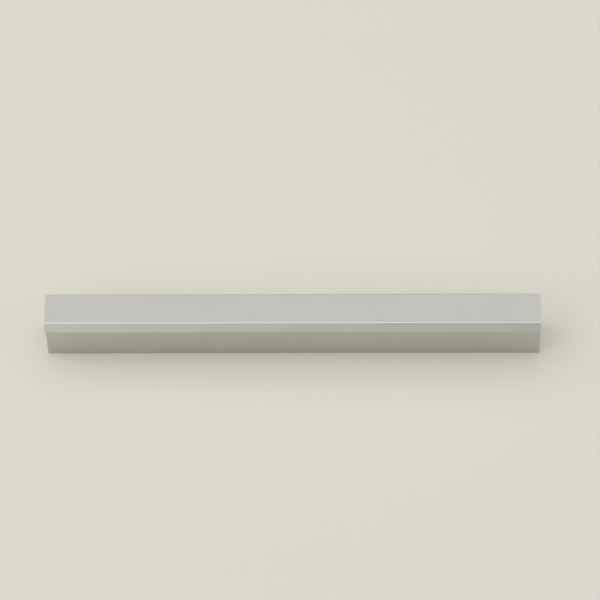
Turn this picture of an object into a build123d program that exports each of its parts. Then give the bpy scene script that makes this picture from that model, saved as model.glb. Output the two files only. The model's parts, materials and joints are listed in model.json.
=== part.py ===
"""A cabinet handle: one length of extruded aluminium, sawn square at both ends.

The bar stands on its foot as it would on a door. X runs along the bar, Z points away from the door,
and -Y is the side where the finger lip overhangs. The origin is midway between the two screw holes,
on the face that lies against the door. All sizes are in millimetres.
"""

import os
from math import cos, radians, sin, tan

from build123d import *

# Bar
length = 200.0  # from one sawn end to the other
height = 25.0  # from the door to the front face
web_thickness = 13.5  # solid web between the front wall and the back

# Finger lip, bent down from the front face
lip_angle = 30.0  # degrees below the front face
lip_length = 3.9  # along its outer face, from the bend to the tip
lip_thickness = 2.0
lip_overhang = 3.3  # from the web's front wall to the tip

# Edges that the extrusion die rounds
bend_radius = 1.0  # where the front face turns down into the lip
tip_radius = 0.2  # both edges of the lip's tip
groove_radius = 0.8  # hollow corner under the lip
back_radius = 0.5  # back edge of the front face
foot_radius = 0.5  # both edges of the foot
end_chamfer = 0.1  # deburred rim of the sawn ends

# Tapped holes for M4 screws that come through the door
hole_spacing = 160.0
tap_drill = 3.3  # diameter
thread_depth = 12.0  # length of the round wall above the countersink
drill_point_angle = 118.0  # degrees
countersink_diameter = 4.2
countersink_angle = 90.0  # degrees

# Corners of the section, as (y, z), from the foot of the front wall round to the back of the foot
slope = radians(lip_angle)
wall_y = -web_thickness / 2
back_y = web_thickness / 2
bend = Vector(wall_y - lip_overhang + lip_length * cos(slope), height)
tip_outer = bend - Vector(cos(slope), sin(slope)) * lip_length
tip_inner = tip_outer + Vector(sin(slope), -cos(slope)) * lip_thickness
groove = Vector(wall_y, tip_inner.Y + (wall_y - tip_inner.X) * tan(slope))
wall_foot = Vector(wall_y, 0)
back_top = Vector(back_y, height)
back_foot = Vector(back_y, 0)

# Each corner of the section with the radius that rounds it
corners = [
    (wall_foot, foot_radius),
    (groove, groove_radius),
    (tip_inner, tip_radius),
    (tip_outer, tip_radius),
    (bend, bend_radius),
    (back_top, back_radius),
    (back_foot, foot_radius),
]

# One screw hole, mouth down at the origin: countersink, drilled wall, drill point
drill_radius = tap_drill / 2
mouth_radius = countersink_diameter / 2
countersink_depth = (mouth_radius - drill_radius) / tan(radians(countersink_angle / 2))
wall_top = countersink_depth + thread_depth
point_height = drill_radius / tan(radians(drill_point_angle / 2))

with BuildPart() as screw_hole:
    with BuildSketch(Plane.XZ):
        with BuildLine():
            Polyline(
                (0, 0),
                (mouth_radius, 0),
                (drill_radius, countersink_depth),
                (drill_radius, wall_top),
                (0, wall_top + point_height),
                close=True,
            )
        make_face()
    revolve(axis=Axis.Z)

# The bar: the section drawn across it, rounded, extruded to both ends, deburred and drilled
with BuildPart() as handle:
    with BuildSketch(Plane.YZ) as section:
        with BuildLine():
            Polyline(*[point for point, _ in corners], close=True)
        make_face()
        for point, radius in corners:
            fillet(section.vertices().sort_by_distance(point)[0], radius)
    extrude(amount=length / 2, both=True)
    end_faces = handle.faces().filter_by(Axis.X)
    chamfer(end_faces.edges(), end_chamfer)
    with GridLocations(hole_spacing, 0, 2, 1):
        add(screw_hole.part, mode=Mode.SUBTRACT)

handle.part.label = "handle"

os.makedirs("parts", exist_ok=True)
export_step(handle.part, "parts/handle.step")
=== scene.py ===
# %% [markdown]
# # A cabinet handle in satin anodised aluminium
#
# The handle is one length of extruded aluminium bar, sawn square at both ends. It stands on its foot, as
# it would on a door, with a short lip along one side for the fingertips.
#
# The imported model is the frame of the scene: it fixes the size, the place and the screw holes, in metres,
# with X along the bar, Z away from the door and -Y towards the lip. Everything below is measured from it.

# %% Load the frame
import json
from math import atan2, cos, hypot, pi, radians, sin, tan

import bmesh
import bpy
from mathutils import Matrix, Vector


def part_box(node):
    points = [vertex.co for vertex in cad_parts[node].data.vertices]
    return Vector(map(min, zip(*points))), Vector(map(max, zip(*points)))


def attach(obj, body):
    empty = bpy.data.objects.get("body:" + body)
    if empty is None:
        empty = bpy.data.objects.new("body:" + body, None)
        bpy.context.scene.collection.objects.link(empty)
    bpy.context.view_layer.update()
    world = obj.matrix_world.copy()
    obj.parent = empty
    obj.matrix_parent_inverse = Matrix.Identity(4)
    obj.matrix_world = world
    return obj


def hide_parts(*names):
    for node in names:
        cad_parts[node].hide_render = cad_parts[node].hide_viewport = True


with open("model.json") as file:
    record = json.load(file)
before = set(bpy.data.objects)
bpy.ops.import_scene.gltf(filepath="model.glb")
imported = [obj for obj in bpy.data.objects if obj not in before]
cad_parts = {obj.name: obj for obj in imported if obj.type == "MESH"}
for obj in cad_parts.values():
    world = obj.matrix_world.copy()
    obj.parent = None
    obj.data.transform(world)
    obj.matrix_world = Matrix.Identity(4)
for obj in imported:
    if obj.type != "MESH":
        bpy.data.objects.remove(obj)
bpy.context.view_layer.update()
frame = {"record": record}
bar_low, bar_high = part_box("handle")
bar_length = bar_high.x - bar_low.x
MM = 0.001
MICRON = 0.001 * MM
print("bar, in mm:", [round(side / MM, 2) for side in bar_high - bar_low])

# %% [markdown]
# ## The section
#
# An extrusion has one outline from end to end, so the outline is drawn first: a thick web that stands on
# the foot, a flat front face on top, and the lip, which slopes down past the web's front wall. The web
# has its middle at the origin, so its front wall lies as far forward as its back lies behind. Seven
# corners are all the outline needs, and each is kept with the radius that the extrusion die leaves there.

# %% Seven corners
lip_angle = radians(30)
lip_length = 3.9 * MM
lip_thickness = 2.0 * MM
lip_overhang = 3.3 * MM
wall_y = -bar_high.y

bend = Vector((wall_y - lip_overhang + lip_length * cos(lip_angle), bar_high.z))
tip_outer = bend - lip_length * Vector((cos(lip_angle), sin(lip_angle)))
tip_inner = tip_outer + lip_thickness * Vector((sin(lip_angle), -cos(lip_angle)))
groove = Vector((wall_y, tip_inner.y + (wall_y - tip_inner.x) * tan(lip_angle)))
print("lip tip, in mm:", [round(n / MM, 2) for n in tip_outer])

# %% Their radii
FOOT_RADIUS = 0.5 * MM
GROOVE_RADIUS = 0.8 * MM
TIP_RADIUS = 0.2 * MM
BEND_RADIUS = 1.0 * MM
BACK_RADIUS = 0.5 * MM

section = [
    (Vector((wall_y, bar_low.z)), FOOT_RADIUS),
    (groove, GROOVE_RADIUS),
    (tip_inner, TIP_RADIUS),
    (tip_outer, TIP_RADIUS),
    (bend, BEND_RADIUS),
    (Vector((bar_high.y, bar_high.z)), BACK_RADIUS),
    (Vector((bar_high.y, bar_low.z)), FOOT_RADIUS),
]
print("section corners, in mm:", [tuple(round(n / MM, 2) for n in point) for point, _ in section])

# %% [markdown]
# ## The bar
#
# The die pushes the section out along X, and a mesh can be made the same way: one face, extruded. The
# corners are rounded afterwards, because a bevel of several segments gives each long edge its own radius,
# and on a satin metal it is these rounded edges that catch the light. A bevel is told how far its edges
# move back from the corner, which for a radius r between two faces at an angle a is r / tan(a / 2).

# %% Extrude the section along the bar
bar = bmesh.new()
end_corners = [bar.verts.new((bar_low.x, *point)) for point, _ in section]
end_face = bar.faces.new(end_corners)
extruded = bmesh.ops.extrude_face_region(bar, geom=[end_face])["geom"]
far_corners = [part for part in extruded if isinstance(part, bmesh.types.BMVert)]
bmesh.ops.translate(bar, verts=far_corners, vec=(bar_length, 0, 0))
print("square-edged bar:", len(bar.faces), "faces")

# %% Round each long edge
EDGE_SEGMENTS = 12


def long_edge(point):
    """The edge that runs the whole length of the bar at one corner of the section."""
    for edge in bar.edges:
        ends = [Vector(vertex.co.yz) for vertex in edge.verts]
        if all((end - point).length < MICRON for end in ends):
            return edge


def setback(corner_number):
    """How far the bevel's edges lie from a corner, for the corner's radius."""
    point, radius = section[corner_number]
    before = section[corner_number - 1][0] - point
    after = section[(corner_number + 1) % len(section)][0] - point
    return radius / tan(before.angle(after) / 2)


for number, (point, _) in enumerate(section):
    bmesh.ops.bevel(
        bar,
        geom=[long_edge(point)],
        offset=setback(number),
        segments=EDGE_SEGMENTS,
        profile=0.5,
        affect="EDGES",
        material=-1,
    )
print("rounded bar:", len(bar.faces), "faces")

# %% [markdown]
# ## Sawn ends
#
# The saw leaves a sharp rim, which is deburred before anodising. A narrow bevel around both end faces is
# enough, and it keeps the corner from looking razor sharp. The ends are marked with a material number of
# their own, because they get a coarser finish than the long faces.

# %% Deburr both rims
SATIN, SAWN, TAPPED = range(3)
DEBURR = 0.1 * MM

end_faces = [face for face in bar.faces if abs(face.normal.x) > 0.99]
rims = [edge for face in end_faces for edge in face.edges]
bmesh.ops.bevel(bar, geom=rims, offset=DEBURR, segments=2, profile=0.5, affect="EDGES", material=-1)
for face in bar.faces:
    if abs(face.calc_center_median().x) > bar_length / 2 - DEBURR:
        face.material_index = SAWN
print("deburred rim edges:", len(rims))

# %% [markdown]
# ## Tapped screw holes
#
# Two M4 screws come through the door into the foot. Each hole has a small countersink, a tapped wall and
# the cone that a drill leaves at the bottom. Turning a line round the hole's axis makes all of that at
# once. A boolean could cut the thread, but its seams are hard to keep clean, so the wall's points are
# moved outwards instead, in a wave that climbs by one pitch in each turn.

# %% Sizes of an M4 thread
holes = [mount for mount in frame["record"]["mounts"] if mount["kind"] == "threaded_hole"]
drill_radius = holes[0]["dims"]["r_mm"] * MM
thread_length = holes[0]["dims"]["length_mm"] * MM
MOUTH_RADIUS = 2.1 * MM
DRILL_POINT = radians(118)
wall_top = MOUTH_RADIUS - drill_radius + thread_length

THREAD_RADIUS = 2.0 * MM
THREAD_PITCH = 0.7 * MM
CREST_FLAT = 1 / 4
ROOT_FLAT = 1 / 8


def thread_cut(height, turn):
    """How far the thread is cut into the wall, at a height above the foot and a share of a full turn."""
    phase = (height / THREAD_PITCH - turn) % 1.0
    from_root = abs(2 * phase - 1)
    flank = (1 - CREST_FLAT - from_root) / (1 - CREST_FLAT - ROOT_FLAT)
    runs_out = min((wall_top - height) / (2 * THREAD_PITCH), 1.0)
    return min(max(flank, 0.0), 1.0) * runs_out * (THREAD_RADIUS - drill_radius)


print("turns of thread:", round(thread_length / THREAD_PITCH, 1))

# %% Turn a hole and cut its thread
HOLE_SIDES = 48
ROWS_PER_PITCH = 14
hole_rows = round(wall_top / THREAD_PITCH * ROWS_PER_PITCH)


def turned_hole(centre):
    """Turns a hole's wall and drill point round its axis, and returns their vertices."""
    heights = [wall_top * row / hole_rows for row in range(hole_rows + 1)]
    line = [bar.verts.new(centre + Vector((drill_radius, 0, height))) for height in heights]
    point_height = drill_radius / tan(DRILL_POINT / 2)
    line.append(bar.verts.new(centre + Vector((0, 0, wall_top + point_height))))
    edges = [bar.edges.new(pair) for pair in zip(line, line[1:])]
    known = set(bar.verts) - set(line)
    bmesh.ops.spin(
        bar,
        geom=line + edges,
        cent=centre,
        axis=(0, 0, 1),
        angle=2 * pi,
        steps=HOLE_SIDES,
        use_merge=True,
    )
    turned = [vertex for vertex in bar.verts if vertex not in known]
    bmesh.ops.remove_doubles(bar, verts=turned, dist=MICRON)
    return [vertex for vertex in bar.verts if vertex not in known]


def cut_thread(wall, centre):
    """Moves the wall of a turned hole out to its thread, and its mouth out to the countersink."""
    for vertex in wall:
        place = vertex.co - centre
        across = hypot(place.x, place.y)
        if across > drill_radius / 2:
            turn = atan2(place.y, place.x) / (2 * pi)
            threaded = drill_radius + thread_cut(place.z, turn)
            countersunk = MOUTH_RADIUS - place.z
            vertex.co.xy = centre.xy + place.xy * (max(threaded, countersunk) / across)


print("a hole's wall:", hole_rows, "rows of", HOLE_SIDES, "faces")

# %% Open the foot and fit both holes into it
foot = min(bar.faces, key=lambda face: face.calc_center_median().z)
foot_rims = set(foot.edges)
bmesh.ops.delete(bar, geom=[foot], context="FACES_ONLY")
for mount in holes:
    centre = Vector((mount["pos_m"][0], mount["pos_m"][1], bar_low.z))
    wall = turned_hole(centre)
    cut_thread(wall, centre)
    for vertex in wall:
        foot_rims.update(edge for edge in vertex.link_edges if edge.is_boundary)
        for face in vertex.link_faces:
            face.material_index = TAPPED
bmesh.ops.triangle_fill(bar, edges=list(foot_rims), use_beauty=True, normal=(0, 0, -1))
bmesh.ops.recalc_face_normals(bar, faces=bar.faces)
print("open edges:", sum(not edge.is_manifold for edge in bar.edges))

# %% [markdown]
# ## One piece
#
# The workshop mesh becomes an object. Smooth shading keeps the rounded edges soft, edges sharper than 35
# degrees stay crisp, and a Weighted Normal modifier keeps the large faces flat right up to their rounded
# edges. The piece rides on the root and takes the place of the imported bar, which is hidden behind it.

# %% Make the bar an object
SHARP_ANGLE = radians(35)
mesh = bpy.data.meshes.new("extruded_bar")
bar.to_mesh(mesh)
bar.free()
handle_bar = bpy.data.objects.new("extruded_bar", mesh)
bpy.context.scene.collection.objects.link(handle_bar)
mesh.shade_smooth()
mesh.set_sharp_from_angle(angle=SHARP_ANGLE)
flat_faces = handle_bar.modifiers.new("flat_faces", "WEIGHTED_NORMAL")
flat_faces.keep_sharp = True
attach(handle_bar, "root")
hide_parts("handle")
print("bar mesh:", len(mesh.vertices), "vertices,", len(mesh.polygons), "faces")

# %% [markdown]
# ## Marks that tools leave
#
# Up close, none of these surfaces is blank. The die draws lines along the bar, the saw leaves arcs across
# its ends, and the tap leaves rings in the holes. They all look like streaked noise, only stretched along
# other paths, so one node group makes the streaks and each finish gives it coordinates of its own: one
# unit is the length of a streak along X, and the width of a streak along Y and Z. A second group makes
# the faint clouds of an anodised film that isn't the same thickness everywhere.


# %% Two node groups
def new_node(tree, kind, values=None, **settings):
    """Adds a node with its properties and the values of its inputs."""
    node = tree.nodes.new(kind)
    for name, setting in settings.items():
        setattr(node, name, setting)
    for name, value in (values or {}).items():
        node.inputs[name].default_value = value
    return node


def noise_group(name, output, scales):
    """A group that averages noise of several scales, read at the coordinates it is given."""
    group = bpy.data.node_groups.new(name, "ShaderNodeTree")
    group.interface.new_socket("Coordinates", in_out="INPUT", socket_type="NodeSocketVector")
    group.interface.new_socket(output, in_out="OUTPUT", socket_type="NodeSocketFloat")
    given = new_node(group, "NodeGroupInput")
    result = new_node(group, "NodeGroupOutput")
    total = None
    for scale in scales:
        noise = new_node(group, "ShaderNodeTexNoise", {"Scale": scale, "Detail": 2.0})
        group.links.new(given.outputs["Coordinates"], noise.inputs["Vector"])
        share = new_node(group, "ShaderNodeMath", operation="MULTIPLY_ADD")
        group.links.new(noise.outputs["Fac"], share.inputs[0])
        share.inputs[1].default_value = 1 / len(scales)
        share.inputs[2].default_value = 0.0
        if total:
            group.links.new(total.outputs["Value"], share.inputs[2])
        total = share
    group.links.new(total.outputs["Value"], result.inputs[output])
    return group


streaks = noise_group("tool_streaks", "Streaks", scales=(1.0, 3.7))
clouds = noise_group("film_clouds", "Clouds", scales=(1.0, 2.3))
print("node groups:", [group.name for group in (streaks, clouds)])

# %% Where the streaks run
DIE_LINE_LENGTH = 80 * MM
DIE_LINE_WIDTH = 0.3 * MM
BLADE_AXIS = (0, 60 * MM, -120 * MM)
SAW_MARK_WIDTH = 0.25 * MM
TAP_RING_WIDTH = 0.08 * MM


def stretched(tree, coordinates, scale):
    """Coordinates in units of a streak's length and width."""
    stretch = new_node(tree, "ShaderNodeMapping", {"Scale": scale})
    tree.links.new(coordinates, stretch.inputs["Vector"])
    return stretch.outputs["Vector"]


def along_the_bar(tree, place):
    """Die lines: long streaks along X."""
    return stretched(tree, place, (1 / DIE_LINE_LENGTH, 1 / DIE_LINE_WIDTH, 1 / DIE_LINE_WIDTH))


def saw_arcs(tree, place):
    """Saw marks: arcs about the blade's axis, which lies along X, below the bar and behind it."""
    across = new_node(tree, "ShaderNodeVectorMath", operation="MULTIPLY")
    across.inputs[1].default_value = (0, 1, 1)
    tree.links.new(place, across.inputs[0])
    radius = new_node(tree, "ShaderNodeVectorMath", operation="DISTANCE")
    radius.inputs[1].default_value = BLADE_AXIS
    tree.links.new(across.outputs["Vector"], radius.inputs[0])
    arc = new_node(tree, "ShaderNodeCombineXYZ")
    tree.links.new(radius.outputs["Value"], arc.inputs["Y"])
    return stretched(tree, arc.outputs["Vector"], (1, 1 / SAW_MARK_WIDTH, 1))


def tap_rings(tree, place):
    """Tap marks: fine rings that change only with the height in the hole."""
    return stretched(tree, place, (0, 0, 1 / TAP_RING_WIDTH))


mark_widths = (DIE_LINE_WIDTH, SAW_MARK_WIDTH, TAP_RING_WIDTH)
print("widths of the marks, in mm:", [round(width / MM, 2) for width in mark_widths])

# %% [markdown]
# ## Satin anodised aluminium
#
# Before anodising, the bar is etched to an even satin. The metal is a pale, nearly neutral grey, and its
# roughness blurs what it mirrors: the light above in the front face, the floor in the wall. The streaks
# and clouds shift the tone and the roughness by a few hundredths only, and a bump no deeper than a few
# microns breaks up the highlight. The sawn ends and the threads are the same metal, with a coarser mark.

# %% How light each spot is
CLOUD_SIZE = 30 * MM
NOISE_LOW = 0.7
NOISE_HIGH = 1.3


def mottle(tree, place, marks):
    """Adds the clouds to the marks, and spreads the sum from 0, the darkest spots, to 1, the lightest."""
    film = new_node(tree, "ShaderNodeGroup", node_tree=clouds)
    tree.links.new(stretched(tree, place, (1 / CLOUD_SIZE,) * 3), film.inputs["Coordinates"])
    both = new_node(tree, "ShaderNodeMath", operation="ADD")
    tree.links.new(marks, both.inputs[0])
    tree.links.new(film.outputs["Clouds"], both.inputs[1])
    spread = new_node(tree, "ShaderNodeMapRange", {"From Min": NOISE_LOW, "From Max": NOISE_HIGH})
    tree.links.new(both.outputs["Value"], spread.inputs["Value"])
    return spread.outputs["Result"]


print("clouds:", round(CLOUD_SIZE / MM), "mm across")

# %% One metal
SATIN_TONES = ((0.56, 0.565, 0.523), (0.59, 0.595, 0.551))


def aluminium(name, mark_coordinates, tones, roughness, mark_depth):
    """A metal finish between two tones and two roughnesses, with marks of a given depth."""
    material = bpy.data.materials.new(name)
    material.use_nodes = True
    tree = material.node_tree
    shader = tree.nodes["Principled BSDF"]
    shader.inputs["Metallic"].default_value = 1.0
    place = new_node(tree, "ShaderNodeTexCoord").outputs["Object"]
    group = new_node(tree, "ShaderNodeGroup", node_tree=streaks)
    tree.links.new(mark_coordinates(tree, place), group.inputs["Coordinates"])
    marks = group.outputs["Streaks"]
    tone = mottle(tree, place, marks)

    colour = new_node(tree, "ShaderNodeValToRGB")
    for stop, shade in zip(colour.color_ramp.elements, tones):
        stop.color = (*shade, 1)
    tree.links.new(tone, colour.inputs["Fac"])
    tree.links.new(colour.outputs["Color"], shader.inputs["Base Color"])
    gloss = new_node(tree, "ShaderNodeMapRange", {"To Min": roughness[0], "To Max": roughness[1]})
    tree.links.new(tone, gloss.inputs["Value"])
    tree.links.new(gloss.outputs["Result"], shader.inputs["Roughness"])
    bump = new_node(tree, "ShaderNodeBump", {"Strength": 1.0, "Distance": mark_depth})
    tree.links.new(marks, bump.inputs["Height"])
    tree.links.new(bump.outputs["Normal"], shader.inputs["Normal"])
    return material


satin = aluminium(
    "satin_anodised_aluminium",
    along_the_bar,
    SATIN_TONES,
    roughness=(0.29, 0.33),
    mark_depth=2 * MICRON,
)
print("finish of the long faces:", satin.name)

# %% Coarser marks on the cut faces
CUT_TONES = ((0.595, 0.6, 0.555), (0.675, 0.68, 0.63))

sawn = aluminium("sawn_aluminium", saw_arcs, CUT_TONES, roughness=(0.3, 0.42), mark_depth=8 * MICRON)
tapped = aluminium("tapped_aluminium", tap_rings, CUT_TONES, roughness=(0.22, 0.34), mark_depth=4 * MICRON)
finishes = {SATIN: satin, SAWN: sawn, TAPPED: tapped}
for number in sorted(finishes):
    mesh.materials.append(finishes[number])
print("finishes:", [material.name for material in mesh.materials])

# %% [markdown]
# ## The floor
#
# The bar stands on a plain, matt, cream surface. It matters to the metal as much as to the picture,
# because the wall under the lip mirrors it. A grid of one face is enough.

# %% Lay the floor
FLOOR_SIDE = 6.0
CREAM = (0.85, 0.82, 0.73)

floor_mesh = bpy.data.meshes.new("floor")
floor_shape = bmesh.new()
bmesh.ops.create_grid(floor_shape, x_segments=1, y_segments=1, size=FLOOR_SIDE / 2)
bmesh.ops.translate(floor_shape, verts=floor_shape.verts, vec=(0, 0, bar_low.z))
floor_shape.to_mesh(floor_mesh)
floor_shape.free()
floor = bpy.data.objects.new("floor", floor_mesh)
bpy.context.scene.collection.objects.link(floor)

cream = bpy.data.materials.new("cream_floor")
cream.use_nodes = True
cream_shader = cream.node_tree.nodes["Principled BSDF"]
cream_shader.inputs["Base Color"].default_value = (*CREAM, 1)
cream_shader.inputs["Roughness"].default_value = 0.9
cream_shader.inputs["Specular IOR Level"].default_value = 0.1
floor_mesh.materials.append(cream)
print("floor:", FLOOR_SIDE, "m square")

# %% [markdown]
# ## The light
#
# Metal shows its surroundings, so the light is a pale room and a few large soft panels, with no small
# bright lamp that would leave a hard spot. The room is the world. Light Path lets the camera and the
# metal see it in one even shade, while the floor is lit mostly by its ceiling. Light from the whole room
# would leave a wide dull halo round the bar, and light from above keeps the shadow close to it, as in the
# photograph.

# %% A pale room
ROOM_TINT = (1.0, 1.0, 0.88)
ROOM_SEEN = 0.6

world = bpy.data.worlds.new("studio")
bpy.context.scene.world = world
world.use_nodes = True
room = world.node_tree
background = room.nodes["Background"]
background.inputs["Color"].default_value = (*ROOM_TINT, 1)
rays = new_node(room, "ShaderNodeLightPath")
seen = rays.outputs["Is Camera Ray"]
for kind in ("Is Glossy Ray", "Is Transmission Ray"):
    either = new_node(room, "ShaderNodeMath", operation="MAXIMUM")
    room.links.new(seen, either.inputs[0])
    room.links.new(rays.outputs[kind], either.inputs[1])
    seen = either.outputs["Value"]
strength = new_node(room, "ShaderNodeMapRange", {"To Max": ROOM_SEEN})
room.links.new(seen, strength.inputs["Value"])
room.links.new(strength.outputs["Result"], background.inputs["Strength"])
print("room as the metal sees it:", ROOM_SEEN)

# %% Its ceiling lights the floor
WALL_LIGHT = 0.05
CEILING_LIGHT = 0.85
CEILING_EDGE = 0.3  # height where the ceiling starts, if 1 is straight up
BRIGHTEST = Vector((-0.12, -0.08, 1)).normalized()  # a little to the left and in front

direction = new_node(room, "ShaderNodeTexCoord").outputs["Generated"]
upwards = new_node(room, "ShaderNodeVectorMath", operation="DOT_PRODUCT")
upwards.inputs[1].default_value = BRIGHTEST
room.links.new(direction, upwards.inputs[0])
lighting = new_node(
    room,
    "ShaderNodeMapRange",
    {"From Min": CEILING_EDGE, "To Min": WALL_LIGHT, "To Max": CEILING_LIGHT},
    interpolation_type="SMOOTHSTEP",
)
room.links.new(upwards.outputs["Value"], lighting.inputs["Value"])
room.links.new(lighting.outputs["Result"], strength.inputs["To Min"])
print("room light:", WALL_LIGHT, "from its walls,", CEILING_LIGHT, "from its ceiling")

# %% Soft panels around the bar
WHITE = (1.0, 1.0, 1.0)
ROSE_WHITE = (1.07, 1.0, 1.1)
COOL_WHITE = (0.985, 1.0, 1.18)


def soft_panel(name, place, aim, width, depth, brightness, tint):
    """A flat lamp, aimed at a point. A brightness of 1 looks as bright as white paper in full light."""
    lamp = bpy.data.lights.new(name, "AREA")
    lamp.shape = "RECTANGLE"
    lamp.size = width
    lamp.size_y = depth
    lamp.energy = pi * width * depth * brightness
    lamp.color = tint
    panel = bpy.data.objects.new(name, lamp)
    panel.location = place
    panel.rotation_euler = (Vector(place) - Vector(aim)).to_track_quat("Z", "Y").to_euler()
    panel.visible_camera = False
    bpy.context.scene.collection.objects.link(panel)
    print(name, round(lamp.energy, 1), "W")


ORIGIN = (0, 0, 0)
soft_panel("left_panel", (-1.2, -0.21, 0.88), ORIGIN, 2.4, 1.3, 0.55, WHITE)
soft_panel("right_panel", (1.28, -0.23, 0.75), ORIGIN, 1.8, 1.2, 0.55, WHITE)
soft_panel("back_panel", (0, 0.375, 0.65), ORIGIN, 0.9, 0.55, 0.35, COOL_WHITE)
soft_panel("front_left_panel", (-0.68, -0.68, 1.15), ORIGIN, 1.1, 1.1, 0.23, ROSE_WHITE)
soft_panel("overhead_panel", (-0.25, -0.08, 1.4), (-0.25, -0.08, 0), 1.5, 0.55, 1.1, COOL_WHITE)

# %% [markdown]
# ## The camera
#
# The photograph looks down on the bar from in front with a long lens. The angles, the distance and the
# view angle were worked out from the corners of the bar in the photograph, in an image of 600 by 600
# pixels. The middle of the bend then has to fall on its own pixel, and that places the camera.

# %% Which way the camera looks
elevation = radians(60.0)
swing = radians(2.31)
tilt = radians(2.11)

swing_matrix = Matrix.Rotation(swing, 3, "Z")
forward = swing_matrix @ Vector((0, cos(elevation), -sin(elevation)))
level_right = swing_matrix @ Vector((1, 0, 0))
level_down = forward.cross(level_right)
right = cos(tilt) * level_right + sin(tilt) * level_down
down = cos(tilt) * level_down - sin(tilt) * level_right
print("camera looks along", [round(value, 3) for value in forward])

# %% Place the camera
IMAGE_SIDE = 600
BEND_PIXEL = (292.3, 322.7)
camera_distance = 1.586
view_angle = radians(8.7)

camera = bpy.data.objects.new("camera", bpy.data.cameras.new("camera"))
camera.data.angle = view_angle
pixels_to_metres = camera_distance * tan(view_angle / 2) / (IMAGE_SIDE / 2)
across = (BEND_PIXEL[0] - IMAGE_SIDE / 2) * pixels_to_metres
below = (BEND_PIXEL[1] - IMAGE_SIDE / 2) * pixels_to_metres
bend_middle = Vector((0, *bend))
place = bend_middle - camera_distance * forward - across * right - below * down
camera.matrix_world = Matrix.Translation(place) @ Matrix((right, -down, -forward)).transposed().to_4x4()
bpy.context.scene.collection.objects.link(camera)
bpy.context.scene.camera = camera
bpy.context.scene.view_settings.view_transform = "Standard"
print("camera at", [round(value, 3) for value in place])
